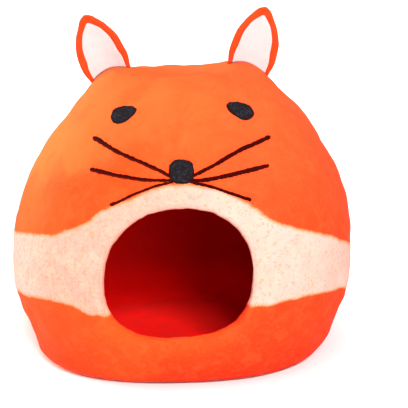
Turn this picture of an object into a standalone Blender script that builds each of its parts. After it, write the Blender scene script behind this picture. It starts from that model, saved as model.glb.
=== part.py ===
"""Felt cat cave with a fox face: a seamless wool shell with a round way in, two felt ears, and needle-felted eyes,
nose and whiskers.

Metres, +Z up, the way in towards -Y. The origin is on the ground under the middle of the shell.

The shell's skin is a bag of level sections, one row of SECTIONS each. A place on it is a compass angle (0 at the
front, +90 at the right) and a height share from 0, the middle of the base, to 1, the middle of the crown. The mesh
runs in rings from the edge of the way in round to the middle of the back, so the edge has no cut corners.
"""

import math

import bmesh
import bpy
import numpy as np
from mathutils import Vector

MM = 0.001

# ---------------------------------------------------------------- driving sizes, in millimetres unless named otherwise
WALL = 8.0  # the felt of the shell
GAP = 0.3  # between pieces that touch
LIP_ROUND = 2.2  # rounding of the cut edge of the way in

# Level sections of the outside, from the ground up.
# height, reach to the left, to the right, to the front, to the back, squareness of the plan (2 is an ellipse)
SECTIONS = (
    (0.0, 0.0, 0.0, 0.0, 0.0, 2.4),
    (0.0, 170.0, 158.0, 138.0, 137.0, 2.4),
    (3.5, 186.5, 175.5, 155.0, 153.0, 2.4),
    (17.0, 198.5, 191.0, 172.0, 169.5, 2.38),
    (45.0, 205.5, 203.0, 185.5, 179.0, 2.32),
    (78.0, 216.0, 215.5, 197.0, 188.0, 2.27),
    (115.0, 225.5, 224.5, 206.0, 195.8, 2.25),
    (158.0, 222.5, 223.0, 210.0, 198.5, 2.25),
    (194.0, 216.5, 220.3, 206.0, 196.0, 2.25),
    (231.0, 203.5, 210.6, 193.0, 187.0, 2.25),
    (272.0, 182.0, 187.5, 170.0, 168.5, 2.25),
    (314.0, 146.5, 161.0, 136.0, 140.5, 2.25),
    (346.0, 120.5, 130.5, 101.0, 108.0, 2.25),
    (363.0, 105.5, 112.5, 76.0, 81.0, 2.25),
    (372.0, 83.0, 87.5, 48.0, 51.0, 2.25),
    (376.0, 0.0, 0.0, 0.0, 0.0, 2.25),
)
# Turning through one radian counts as this much length when the rings are shared out, so that they crowd into bends.
BEND_LENGTH = 45.0
RINGS = 34
AROUND = 72
RING_GRADING = 1.05  # over 1 draws the rings a little towards the edge of the way in

# The way in, as it is seen from the front.
MOUTH_X, MOUTH_Z = -2.9, 154.9
MOUTH_HALF_WIDTH, MOUTH_HALF_HEIGHT = 91.7, 81.9
MOUTH_POWER = 2.35
# Hand cutting: how many times it swings round the edge, how far, and where it starts in degrees.
MOUTH_UNEVEN = ((2, 0.026, 93.0), (3, 0.018, 259.0), (5, 0.004, 89.0))

# The crown swells where the ears are felted on: x, y, rise and spread of each swell.
CRESTS = ((-86.0, 6.0, 7.0, 30.0), (82.0, 6.0, 10.0, 25.0))

# Ears: cupped leaves of felt, trimmed where they stand on the crown.
EAR_LENGTH, EAR_THICK, EAR_CUP, EAR_SUNK = 87.6, 6.0, 9.0, 24.0
EAR_ROWS, EAR_COLUMNS = 12, 10
# share of the length from the root, half width
EAR_OUTLINE = (
    (-0.30, 27.5),
    (0.00, 28.0),
    (0.25, 32.0),
    (0.50, 30.5),
    (0.72, 23.0),
    (0.87, 14.3),
    (0.96, 8.2),
    (1.00, 3.2),
)
# name, root x, y and height, lean to the right, lean back and turn to the right in degrees, share of the full width
EARS = (
    ("left", -84.8, 12.0, 366.0, -24.5, 3.0, -8.0, 1.0),
    ("right", 89.6, 12.0, 368.0, 18.6, 3.0, 8.0, 0.985),
)
LINING_THICK, LINING_TOP, LINING_SHOULDER = 2.0, 0.875, 0.70
# Orange left showing round the white, at the foot and from a share of the length upwards.
RIM_FOOT, RIM, RIM_FULL_AT = 3.5, 8.5, 0.35
LINING_ROWS, LINING_COLUMNS = 13, 8

# Patches on the face, in x and height as seen from the front. Each is an oval, drawn in towards its inner end.
# name, x, height, half length, half width, turn of the length, how far the inner end is drawn in, how square,
# thickness at the middle
PATCHES = (
    ("eye_left", -66.7, 337.6, 17.6, 9.3, 20.0, 0.44, 2.0, 2.2),
    ("eye_right", 77.2, 337.4, 17.8, 9.2, 160.0, 0.39, 2.3, 2.2),
    ("nose", 3.9, 278.4, 13.1, 15.4, -90.3, 0.02, 2.8, 5.0),
)
PATCH_RINGS, PATCH_AROUND = 5, 28

# Whiskers, as seen from the front: tip x and height, root x and height, rise of the middle over a straight line,
# width at tip, middle and root.
WHISKERS = (
    ("whisker_left_upper", (-104.5, 310.2), (-13.4, 275.3), -0.2, 6.2, 5.8, 3.4),
    ("whisker_left_middle", (-106.5, 277.4), (-10.6, 269.9), -1.8, 5.8, 5.8, 2.0),
    ("whisker_left_lower", (-82.0, 241.3), (-9.4, 266.6), 1.6, 4.4, 3.8, 1.8),
    ("whisker_right_upper", (112.0, 306.0), (21.0, 275.2), 2.4, 5.2, 5.0, 2.8),
    ("whisker_right_middle", (109.5, 277.2), (18.2, 269.8), -1.0, 5.0, 5.2, 2.0),
    ("whisker_right_lower", (86.5, 243.3), (17.2, 266.4), 1.8, 4.4, 3.6, 1.8),
)
WHISKER_HEIGHT = 2.4
WHISKER_STEPS, WHISKER_SIDES = 18, 6

# name, colour as linear red, green, blue, roughness
FELTS = {
    "orange": ((0.90, 0.12, 0.03), 0.95),
    "cream": ((0.78, 0.62, 0.53), 0.95),
    "charcoal": ((0.02, 0.018, 0.02), 0.95),
}


# ---------------------------------------------------------------- curves through tables
def even_curve(at, knots, values):
    """A curve through the knots that never overshoots them, so that a flat base stays flat."""
    steps = np.diff(knots)
    slopes = np.diff(values) / steps
    before, after = slopes[:-1], slopes[1:]
    same_way = before * after > 0
    safe = np.where(same_way, before + after, 1.0)
    middle = np.where(same_way, 2 * before * after / safe, 0.0)
    tangents = np.concatenate([slopes[:1], middle, slopes[-1:]])
    k = np.clip(np.searchsorted(knots, at, side="right") - 1, 0, len(steps) - 1)
    t = (at - knots[k]) / steps[k]
    return (
        (1 + 2 * t) * (1 - t) ** 2 * values[k]
        + t * (1 - t) ** 2 * steps[k] * tangents[k]
        + t**2 * (3 - 2 * t) * values[k + 1]
        - t**2 * (1 - t) * steps[k] * tangents[k + 1]
    )


ROWS = np.array(SECTIONS)


def shares_of_rows():
    """Each row's height share: how far along the mean outline it lies, in length and in bend together."""
    steps = np.diff(np.stack([ROWS[:, 0], ROWS[:, 1:5].mean(axis=1)], axis=1), axis=0)
    slopes = np.unwrap(np.arctan2(steps[:, 0], steps[:, 1]))
    bends = np.abs(np.diff(slopes))
    bends = (np.concatenate([[0.0], bends]) + np.concatenate([bends, [0.0]])) / 2
    lengths = np.cumsum(np.linalg.norm(steps, axis=1) + BEND_LENGTH * bends)
    return np.concatenate([[0.0], lengths / lengths[-1]])


SHARES = shares_of_rows()


def section(share):
    """Height, the four reaches and the squareness of the skin at a height share."""
    return [even_curve(share, SHARES, ROWS[:, column]) for column in range(6)]


def crest(x, y):
    """How far the swells under the ears raise the crown at a place seen from above."""
    swells = []
    for at_x, at_y, rise, spread in CRESTS:
        away = np.hypot(x - at_x, y - at_y) / spread
        swells.append(rise * np.exp(-(away**2) / 2))
    return sum(swells)


def skin(angle, share):
    """The outside of the shell, in millimetres: a superellipse plan at each height share, raised at the ears."""
    height, left, right, front, back, power = section(share)
    across, along = np.sin(angle), -np.cos(angle)
    x = np.where(across < 0, left, right) * np.sign(across) * np.abs(across) ** (2 / power)
    y = np.where(along < 0, front, back) * np.sign(along) * np.abs(along) ** (2 / power)
    upper = np.clip((height - 300) / 80, 0, 1)
    return np.stack([x, y, height + crest(x, y) * upper], axis=-1)


def share_at_height(height):
    """The height share of a height on the shell's side."""
    fine = np.linspace(SHARES[1], 1, 2000)
    return np.interp(height, section(fine)[0], fine)


def angle_and_share(x, height):
    """Where on the front of the skin a place seen from the front lies."""
    share = share_at_height(height)
    _, left, right, _, _, power = section(share)
    part = np.clip(x / np.where(x < 0, left, right), -1, 1)
    return np.arcsin(np.sign(part) * np.abs(part) ** (power / 2)), share


def front(x, height):
    """The point of the skin's front that is seen at x and height, and the outward normal there."""
    angle, share = angle_and_share(x, height)
    point = skin(angle, share)
    step = 1e-4
    east = skin(angle + step, share) - skin(angle - step, share)
    up = skin(angle, share + step) - skin(angle, share - step)
    normal = np.cross(east, up)
    return point, normal / np.linalg.norm(normal, axis=-1, keepdims=True)


# ---------------------------------------------------------------- objects
def material(felt):
    found = bpy.data.materials.get("felt_" + felt)
    if found:
        return found
    made = bpy.data.materials.new("felt_" + felt)
    made.use_nodes = True
    colour, roughness = FELTS[felt]
    shader = made.node_tree.nodes["Principled BSDF"]
    shader.inputs["Base Color"].default_value = (*colour, 1.0)
    shader.inputs["Roughness"].default_value = roughness
    shader.inputs["Metallic"].default_value = 0.0
    shader.inputs["Sheen Weight"].default_value = 0.3
    return made


def new_object(name, points, faces, felt):
    """An object from points in millimetres and faces as lists of their numbers, with its faces turned outwards."""
    mesh = bpy.data.meshes.new(name)
    mesh.from_pydata([Vector(p) * MM for p in points], [], faces)
    work = bmesh.new()
    work.from_mesh(mesh)
    bmesh.ops.triangulate(work, faces=work.faces)
    bmesh.ops.recalc_face_normals(work, faces=work.faces)
    work.to_mesh(mesh)
    work.free()
    mesh.shade_smooth()
    mesh.materials.append(material(felt))
    made = bpy.data.objects.new(name, mesh)
    bpy.context.scene.collection.objects.link(made)
    return made


def grid_faces(rows, columns, closed):
    """Four-sided faces between rows of points. A closed grid joins each row's last point to its first."""
    faces = []
    for row in range(rows - 1):
        for column in range(columns if closed else columns - 1):
            beside = (column + 1) % columns
            faces.append(
                (
                    row * columns + column,
                    row * columns + beside,
                    (row + 1) * columns + beside,
                    (row + 1) * columns + column,
                )
            )
    return faces


def round_edges(made, width, segments):
    bevel = made.modifiers.new("round_edges", "BEVEL")
    bevel.width = width * MM
    bevel.segments = segments
    bevel.limit_method = "ANGLE"
    bevel.angle_limit = math.radians(50)
    bevel.use_clamp_overlap = True


def thicken(made, thickness, offset):
    wall = made.modifiers.new("felt_thickness", "SOLIDIFY")
    wall.thickness = thickness * MM
    wall.offset = offset
    wall.use_even_offset = True
    wall.use_quality_normals = True


def cut(made, cutter):
    trim = made.modifiers.new("cut_" + cutter.name, "BOOLEAN")
    trim.operation = "DIFFERENCE"
    trim.object = cutter


# ---------------------------------------------------------------- shell
def mouth_edge():
    """The edge of the way in, as angles and height shares: a hand-cut superellipse."""
    turn = np.linspace(0, 2 * math.pi, AROUND, endpoint=False)
    uneven = 1 + sum(size * np.cos(count * turn - math.radians(start)) for count, size, start in MOUTH_UNEVEN)
    across, up = np.cos(turn), np.sin(turn)
    x = MOUTH_X + MOUTH_HALF_WIDTH * uneven * np.sign(across) * np.abs(across) ** (2 / MOUTH_POWER)
    height = MOUTH_Z + MOUTH_HALF_HEIGHT * uneven * np.sign(up) * np.abs(up) ** (2 / MOUTH_POWER)
    return angle_and_share(x, height)


def on_ball(angle, share):
    """The same place on a unit ball, where the base is the south pole."""
    latitude = (share - 0.5) * math.pi
    return np.stack(
        [
            np.cos(latitude) * np.sin(angle),
            -np.cos(latitude) * np.cos(angle),
            np.sin(latitude),
        ],
        axis=-1,
    )


def skin_rings():
    """Rings of skin points from the edge of the way in to the middle of the back, which is one point at the end."""
    edge = on_ball(*mouth_edge())
    middle = edge.mean(axis=0)
    back = -middle / np.linalg.norm(middle)
    spread = np.arccos(np.clip(edge @ back, -1, 1))
    rings = []
    for ring in range(RINGS):
        t = (ring / RINGS) ** RING_GRADING
        near = np.sin((1 - t) * spread) / np.sin(spread)
        far = np.sin(t * spread) / np.sin(spread)
        rings.append(near[:, None] * edge + far[:, None] * back)
    ball = np.concatenate([*rings, back[None]])
    angle = np.arctan2(ball[:, 0], -ball[:, 1])
    share = np.arcsin(np.clip(ball[:, 2], -1, 1)) / math.pi + 0.5
    return skin(angle, share)


def skin_faces():
    last = (RINGS - 1) * AROUND
    back = RINGS * AROUND
    fan = [(last + column, last + (column + 1) % AROUND, back) for column in range(AROUND)]
    return grid_faces(RINGS, AROUND, closed=True) + fan


def make_shell():
    shell = new_object("shell", skin_rings(), skin_faces(), "orange")
    bpy.context.view_layer.update()
    thicken(shell, WALL, -1)
    round_edges(shell, LIP_ROUND, 2)
    return shell


def make_head_cutter():
    """The shell's skin with the way in stopped up, grown by the gap. What stands on the shell is trimmed with it."""
    cutter = new_object("head_cutter", skin_rings(), skin_faces() + [tuple(range(AROUND))], "orange")
    work = bmesh.new()
    work.from_mesh(cutter.data)
    work.normal_update()
    for vertex in work.verts:
        vertex.co += vertex.normal * GAP * MM
    work.to_mesh(cutter.data)
    work.free()
    cutter.hide_render = True
    cutter.display_type = "WIRE"
    return cutter


# ---------------------------------------------------------------- ears
def ear_axes(lean, back, turn):
    """Across, up and facing directions of an ear that leans and turns."""
    lean, back, turn = math.radians(lean), math.radians(back), math.radians(turn)
    facing = np.array([math.sin(turn), -math.cos(turn), 0.0])
    side = np.array([math.cos(turn), math.sin(turn), 0.0])
    up = np.array([0.0, 0.0, 1.0]) * math.cos(back) - facing * math.sin(back)
    along = up * math.cos(lean) + side * math.sin(lean)
    across = side * math.cos(lean) - up * math.sin(lean)
    return across, along, np.cross(across, along)


def ear_sheet(ear, shares, half_widths, columns, forward):
    """Rows of points over a cupped leaf: its sides curl forward, by the cup at its widest place."""
    _, root_x, root_y, root_height, lean, back, turn, _ = ear
    across, along, facing = ear_axes(lean, back, turn)
    root = np.array([root_x, root_y, root_height])
    widest = max(width for _, width in EAR_OUTLINE)
    points = []
    for share, half_width in zip(shares, half_widths):
        for place in np.linspace(-1, 1, columns):
            beside = place * half_width
            curl = EAR_CUP * (beside / widest) ** 2
            normal = facing - across * 2 * EAR_CUP * beside / widest**2
            normal /= np.linalg.norm(normal)
            points.append(root + across * beside + along * share * EAR_LENGTH + facing * curl + normal * forward)
    return points


def ear_half_width(ear, share):
    outline = np.array(EAR_OUTLINE)
    return even_curve(share, outline[:, 0], outline[:, 1]) * ear[-1]


def make_ear(ear, cutter):
    name = ear[0]
    foot = -EAR_SUNK / EAR_LENGTH
    shares = 1 - (1 - foot) * np.linspace(1, 0, EAR_ROWS) ** 1.25
    points = ear_sheet(ear, shares, ear_half_width(ear, shares), EAR_COLUMNS, 0.0)
    outer = new_object("ear_" + name, points, grid_faces(EAR_ROWS, EAR_COLUMNS, closed=False), "orange")
    thicken(outer, EAR_THICK, 0)
    round_edges(outer, 0.35 * EAR_THICK, 2)
    cut(outer, cutter)

    shares = LINING_TOP - (LINING_TOP - foot) * np.linspace(1, 0, LINING_ROWS) ** 1.7
    round_tip = np.sqrt(1 - np.clip((shares - LINING_SHOULDER) / (LINING_TOP - LINING_SHOULDER), 0, 1) ** 2)
    rim = RIM_FOOT + (RIM - RIM_FOOT) * np.clip(shares / RIM_FULL_AT, 0, 1)
    half_widths = np.maximum((ear_half_width(ear, shares) - rim) * round_tip, 1.5)
    forward = EAR_THICK / 2 + GAP + LINING_THICK / 2
    points = ear_sheet(ear, shares, half_widths, LINING_COLUMNS, forward)
    lining = new_object(
        "ear_lining_" + name,
        points,
        grid_faces(LINING_ROWS, LINING_COLUMNS, closed=False),
        "cream",
    )
    thicken(lining, LINING_THICK, 0)
    cut(lining, cutter)


# ---------------------------------------------------------------- face
def make_patch(name, x, height, half_length, half_width, turn, drawn_in, square, thick):
    """A felt patch that lies on the skin and is domed over its middle."""
    turn = math.radians(turn)
    around = np.linspace(0, 2 * math.pi, PATCH_AROUND, endpoint=False)
    long_way = np.sign(np.cos(around)) * np.abs(np.cos(around)) ** (2 / square)
    short_way = np.sign(np.sin(around)) * np.abs(np.sin(around)) ** (2 / square)
    short_way = short_way * (1 - drawn_in * (0.5 + 0.5 * long_way) ** 1.5)
    sides = []
    for dome in (0.0, 1.0):
        for ring in range(PATCH_RINGS, 0, -1):
            out = ring / PATCH_RINGS
            ahead, beside = half_length * out * long_way, half_width * out * short_way
            place_x = x + ahead * math.cos(turn) - beside * math.sin(turn)
            place_z = height + ahead * math.sin(turn) + beside * math.cos(turn)
            rise = GAP + dome * (0.35 + 0.65 * math.sqrt(1 - (0.96 * out) ** 2)) * thick
            point, normal = front(place_x, place_z)
            sides.append(point + normal * rise)
        point, normal = front(np.array([x]), np.array([height]))
        sides.append(point + normal * (GAP + dome * thick))
    points = np.concatenate(sides)
    half = PATCH_RINGS * PATCH_AROUND + 1
    faces = []
    for start in (0, half):
        faces += [tuple(start + n for n in face) for face in grid_faces(PATCH_RINGS, PATCH_AROUND, closed=True)]
        last = start + (PATCH_RINGS - 1) * PATCH_AROUND
        middle = start + half - 1
        faces += [(last + n, last + (n + 1) % PATCH_AROUND, middle) for n in range(PATCH_AROUND)]
    for n in range(PATCH_AROUND):
        beside = (n + 1) % PATCH_AROUND
        faces.append((n, beside, half + beside, half + n))
    return new_object(name, points, faces, "charcoal")


def make_whisker(name, tip, root, sag, tip_width, middle_width, root_width):
    """A strand of wool that lies on the skin: a low half-round ribbon whose width changes along it."""
    along = np.linspace(0, 1, WHISKER_STEPS)
    x = tip[0] + (root[0] - tip[0]) * along
    height = tip[1] + (root[1] - tip[1]) * along + sag * 4 * along * (1 - along)
    width = even_curve(along, np.array([0.0, 0.5, 1.0]), np.array([tip_width, middle_width, root_width]))
    point, normal = front(x, height)
    ahead = np.gradient(point, axis=0)
    ahead /= np.linalg.norm(ahead, axis=1, keepdims=True)
    beside = np.cross(normal, ahead)
    points = []
    for step in range(WHISKER_STEPS):
        for side in range(WHISKER_SIDES):
            turn = math.pi * side / (WHISKER_SIDES - 1)
            lift = GAP + WHISKER_HEIGHT * math.sin(turn) * min(1.0, width[step] / middle_width)
            points.append(point[step] + beside[step] * math.cos(turn) * width[step] / 2 + normal[step] * lift)
    faces = grid_faces(WHISKER_STEPS, WHISKER_SIDES, closed=True)
    last = (WHISKER_STEPS - 1) * WHISKER_SIDES
    faces.append(tuple(range(WHISKER_SIDES)))
    faces.append(tuple(last + side for side in range(WHISKER_SIDES)))
    return new_object(name, points, faces, "charcoal")


def main():
    for old in list(bpy.data.objects):
        bpy.data.objects.remove(old)
    make_shell()
    cutter = make_head_cutter()
    for ear in EARS:
        make_ear(ear, cutter)
    for patch in PATCHES:
        make_patch(*patch)
    for whisker in WHISKERS:
        make_whisker(*whisker)


main()
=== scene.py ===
"""Dresses the felt cat cave: a seamless wool shell, its round way in, felt ears and a needle-felted fox face.

Lengths inside the functions are millimetres, and they turn to metres where a mesh is made. +Z is up and the
way in looks towards -Y. The shell's skin is a bag of level sections. A place on it is a compass angle, 0 at
the front and +90 at the right, and a height share, from 0 at the base's middle to 1 at the crown's.
"""

import math

import bpy
import numpy as np
from mathutils import Matrix


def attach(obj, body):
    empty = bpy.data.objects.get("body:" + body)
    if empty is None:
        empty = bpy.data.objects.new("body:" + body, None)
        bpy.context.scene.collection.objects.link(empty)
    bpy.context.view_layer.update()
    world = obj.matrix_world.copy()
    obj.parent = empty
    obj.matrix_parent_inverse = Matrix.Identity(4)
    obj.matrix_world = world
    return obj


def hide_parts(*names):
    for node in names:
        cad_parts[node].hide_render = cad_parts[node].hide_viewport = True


bl_info = {
    "name": "Felt cat cave",
    "version": (1, 0, 0),
    "blender": (4, 5, 0),
    "location": "3D View > Sidebar > Cat cave",
    "description": "Builds a wool felt cat cave with a fox face, and its stage, lights and camera",
    "category": "Add Mesh",
}

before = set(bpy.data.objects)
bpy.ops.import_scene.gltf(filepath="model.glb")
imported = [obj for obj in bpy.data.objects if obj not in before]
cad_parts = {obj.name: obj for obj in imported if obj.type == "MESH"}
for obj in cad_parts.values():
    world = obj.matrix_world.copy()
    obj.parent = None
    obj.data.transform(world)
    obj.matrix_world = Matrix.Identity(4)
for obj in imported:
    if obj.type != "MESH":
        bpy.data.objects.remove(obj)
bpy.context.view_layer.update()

MM = 0.001
SMALLEST = 1e-9

# ---------------- sizes, in millimetres
# Level sections of the outside: height, reach to the left, right, front and back, and squareness, where 2 is
# an ellipse.
SECTIONS = np.array(
    (
        (0.0, 0.0, 0.0, 0.0, 0.0, 2.4),
        (0.0, 170.0, 158.0, 138.0, 137.0, 2.4),
        (3.5, 186.5, 175.5, 155.0, 153.0, 2.4),
        (17.0, 198.5, 191.0, 172.0, 169.5, 2.38),
        (45.0, 205.5, 203.0, 185.5, 179.0, 2.32),
        (78.0, 216.0, 215.5, 197.0, 188.0, 2.27),
        (115.0, 225.5, 224.5, 206.0, 195.8, 2.25),
        (158.0, 222.5, 223.0, 210.0, 198.5, 2.25),
        (194.0, 216.5, 220.3, 206.0, 196.0, 2.25),
        (231.0, 203.5, 210.6, 193.0, 187.0, 2.25),
        (272.0, 182.0, 187.5, 170.0, 168.5, 2.25),
        (314.0, 146.5, 161.0, 136.0, 140.5, 2.25),
        (346.0, 120.5, 130.5, 101.0, 108.0, 2.25),
        (363.0, 105.5, 112.5, 76.0, 81.0, 2.25),
        (372.0, 83.0, 87.5, 48.0, 51.0, 2.25),
        (376.0, 0.0, 0.0, 0.0, 0.0, 2.25),
    )
)
BEND_LENGTH = 45.0  # turning through one radian counts as this much length where rings are shared out
# Swells of the crown where the ears are felted on: x, y, rise and spread.
CRESTS = ((-86.0, 6.0, 7.0, 30.0), (82.0, 6.0, 10.0, 25.0))
CREST_FROM, CREST_FADE = 300.0, 80.0  # they grow in from that height, over that much more
# Swells of the hand-worked skin: length, seed and share of the full height.
HAND_SWELLS = ((95, 11, 1.0), (44, 12, 0.62), (21, 13, 0.30))
WAVES = 28  # the waves summed in one kind of swell

# The way in, as seen from the front: middle, half sizes and squareness of a hand-cut superellipse.
MOUTH_X, MOUTH_Z = -2.9, 154.9
MOUTH_HALF_WIDTH, MOUTH_HALF_HEIGHT, MOUTH_POWER = 91.7, 81.9, 2.35
# Hand cutting: how many times it swings round the edge, how far, and where it starts in degrees.
MOUTH_UNEVEN = ((2, 0.026, 93.0), (3, 0.018, 259.0), (5, 0.004, 89.0))
SCISSOR_RIPPLE = ((17, 0.0016, 60.0), (29, 0.0012, 140.0))  # the same for the scissors' small steps
LIP_POWER = 0.55  # 1 would round the cut edge as an ellipse, and under 1 it is squarer

# Edges of the cream band: compass angle in degrees and height. It closes round the back as a plain belt.
BAND_TOP = (
    (-180, 122), (-140, 130), (-110, 148), (-90, 165), (-75, 177), (-66, 185), (-58, 190.3), (-52.3, 193.9),
    (-47.5, 196), (-43.2, 198), (-39.6, 203.6), (-36.2, 208.8), (-33, 212.6), (-30, 217.7), (-27.2, 224.2),
    (-24.6, 232.5), (-21.2, 238.1), (-17.1, 244), (-13.2, 250), (-9.3, 255.8), (-5.6, 260.1), (-1, 263),
    (2.4, 263.6), (6, 261.5), (9.7, 258.4), (13.5, 253.9), (17.2, 246.9), (20.9, 239.3), (23.4, 231.5),
    (25.9, 223.7), (28.4, 216.3), (31.3, 211.4), (34.3, 206.8), (39.2, 200.6), (44.6, 193.7), (48.8, 188),
    (53.5, 182.8), (58.9, 173.9), (62.2, 168.9), (72, 156), (88, 138), (110, 127), (145, 121), (180, 122),
)  # fmt: skip
BAND_FOOT = (
    (-180, 60), (-140, 65), (-110, 77), (-90, 90), (-75, 101), (-68, 105.5), (-60.3, 108.5), (-53.4, 113.3),
    (-48.2, 115.6), (-43.7, 116.3), (-36.1, 115.6), (-32.8, 113), (-29.7, 108.9), (-27, 106), (-23.8, 107.6),
    (21.2, 117.3), (25.4, 114.9), (28.3, 115.3), (33, 116.6), (36.4, 115.2), (40, 116.3), (43.9, 114.6),
    (48.3, 112.9), (53.4, 110.1), (59.8, 106.2), (64, 104.2), (75, 93), (90, 77), (115, 63), (150, 58),
    (180, 60),
)  # fmt: skip
SKIN_PER_DEGREE = 3.6  # about how much skin one degree of the compass spans

# Ears: share of the length from the root and half width of the leaf.
EAR_OUTLINE = np.array(
    (
        (-0.30, 27.5), (0.0, 28.0), (0.25, 32.0), (0.50, 30.5),
        (0.72, 23.0), (0.87, 14.3), (0.96, 8.2), (1.0, 3.2),
    )
)  # fmt: skip
EAR_LENGTH, EAR_SUNK = 87.6, 24.0
EAR_ROUND_FROM, EAR_ROUND_LENGTH = 0.955, 0.046  # shares of the length over which the very tip is rounded
# Name, root x, y and height, lean to the right, lean back and turn to the right in degrees, and share of the
# full width.
EARS = (
    ("left", -84.8, 12.0, 366.0, -24.5, 3.0, -8.0, 1.0),
    ("right", 89.6, 12.0, 368.0, 18.6, 3.0, 8.0, 0.985),
)
# The white leaf's tip and the share of the length from which it is drawn in to its round tip.
LINING_TOP, LINING_SHOULDER = 0.875, 0.70
LINING_HALF_THICK, LINING_THINS_FROM = 1.5, 6.0  # it thins where its half width is under the second
RIM_FOOT_SHARE, RIM_FULL_AT = 0.41, 0.35  # share of the rim's full width at the foot, and where it is full
RIM_ROLL = 1.5  # how far the rolled rim stands proud

# Patches of black wool: name, x, height, half length, half width, turn of the length in degrees, how far the
# inner end is drawn in, squareness, and thickness at the middle.
PATCHES = (
    ("eye_left", -66.7, 337.6, 17.6, 9.3, 20.0, 0.44, 2.0, 2.2),
    ("eye_right", 77.2, 337.4, 17.8, 9.2, 160.0, 0.39, 2.3, 2.2),
    ("nose", 3.9, 278.4, 13.1, 15.4, -90.3, 0.02, 2.8, 5.0),
)
PATCH_SUNK, BACK_SHARE = 1.6, 0.97  # how deep a patch's flat back lies in the felt, and its share of the size
# Whiskers: name, and from tip to root the x, height and width of each point.
WHISKERS = (
    ("whisker_left_upper", (
        (-104.8, 310.4, 5.8), (-97, 308.2, 6.2), (-74.9, 298.4, 5.0), (-42.2, 287.2, 5.0),
        (-20.3, 278.8, 4.6), (-9.0, 273.2, 4.2),
    )),
    ("whisker_left_middle", (
        (-106.8, 277.4, 5.2), (-92, 275.6, 5.3), (-74.8, 273.4, 5.0), (-42.4, 269.6, 4.9),
        (-28.9, 268.9, 4.0), (-7.0, 269.2, 3.5),
    )),
    ("whisker_left_lower", (
        (-82.2, 241.0, 4.5), (-72, 245.4, 3.6), (-54.5, 253.6, 3.2), (-29, 262.3, 3.2), (-6.0, 267.4, 3.0),
    )),
    ("whisker_right_upper", (
        (112.4, 306.2, 5.6), (104, 304.4, 5.4), (82, 299.3, 5.8), (55.8, 289.6, 5.2), (35.3, 281.0, 4.6),
        (17.0, 273.6, 4.2),
    )),
    ("whisker_right_middle", (
        (109.9, 277.2, 4.8), (95, 275.8, 5.8), (80.9, 274.4, 5.8), (55.2, 271.6, 5.4), (34.9, 268.9, 4.8),
        (14.6, 269.2, 4.2),
    )),
    ("whisker_right_lower", (
        (86.8, 243.0, 5.0), (78, 246.4, 4.0), (64.8, 252.1, 3.8), (43, 260.2, 3.8), (31.4, 263.7, 3.6),
        (13.6, 267.6, 3.6),
    )),
)  # fmt: skip
STRAND_LIFT, STRAND_TALLEST = 0.5, 2.4  # a whisker's lift off the skin, and its greatest half height
STRAND_HEIGHT, STRAND_END = 1.15, 0.55  # shares of its width: its height, and the length of its blunt end

# Mesh fineness
AROUND, SHELL_RINGS, INNER_RINGS, LIP_STEPS = 320, 150, 84, 13
SHELL_GRADING = 1.25  # over 1 draws the rings towards the edge of the way in
FAR = 400.0  # counts as out of reach of the way in


# ---------------- colours
def linear(hex_colour):
    """sRGB hex to linear red, green and blue."""
    shares = (int(hex_colour[i : i + 2], 16) / 255 for i in (1, 3, 5))
    return tuple(c / 12.92 if c <= 0.04045 else ((c + 0.055) / 1.055) ** 2.4 for c in shares)


def colour_property(name, description, hex_colour):
    return bpy.props.FloatVectorProperty(
        name=name, description=description, subtype="COLOR", size=3, min=0, max=1, default=linear(hex_colour)
    )


def length_property(name, description, metres):
    return bpy.props.FloatProperty(name=name, description=description, default=metres, unit="LENGTH")


def angle_property(name, description, degrees):
    return bpy.props.FloatProperty(
        name=name, description=description, default=math.radians(degrees), subtype="ANGLE"
    )


class CaveShape(bpy.types.PropertyGroup):
    """Sizes of the felt that a maker could vary without another form."""

    wall: length_property("Felt thickness", "Thickness of the shell's felt", 0.008)
    lip: length_property("Lip rounding", "Rounding of the cut edge of the way in", 0.003)
    uneven: length_property("Hand unevenness", "Height of the felt's hand-made swells", 0.0009)
    ear_felt: length_property("Ear felt thickness", "Thickness of an ear's outer leaf", 0.006)
    ear_rim: length_property("Ear rim", "Orange left showing round the white leaf", 0.0085)
    ear_cup: length_property("Ear cup", "How far an ear's sides curl forward", 0.009)


class CaveColours(bpy.types.PropertyGroup):
    """Colours of the dyed wools."""

    orange: colour_property("Orange wool", "Fleece of the shell's foot", "#F43810")
    # The amber towards the crown is partly painted light from above.
    amber: colour_property("Amber wool", "Lighter orange fleece towards the crown", "#F45D28")
    vermilion: colour_property("Vermilion wool", "Outside of the ears", "#EA3812")
    cream: colour_property("Cream wool", "Band round the way in", "#DEA69A")
    white: colour_property("White wool", "Inside of the ears", "#C9AFAD")
    red: colour_property("Red wool", "Inside of the cave", "#FF0C0A")
    black: colour_property("Black wool", "Eyes and nose", "#1B1517")
    maroon: colour_property("Maroon wool", "Red fibres drawn into the thin black whiskers", "#340301")


class CaveStage(bpy.types.PropertyGroup):
    """The camera's place, given by the angle it looks down at and its distance."""

    elevation: angle_property("Camera elevation", "Angle above level", 15.0)
    roll: angle_property("Camera roll", "Lifts the right side of the picture", 1.4)
    distance: length_property("Camera distance", "From the camera to its target", 1.8)
    width_seen: length_property("Width seen", "Width of the picture at the target", 0.5447)


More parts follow.
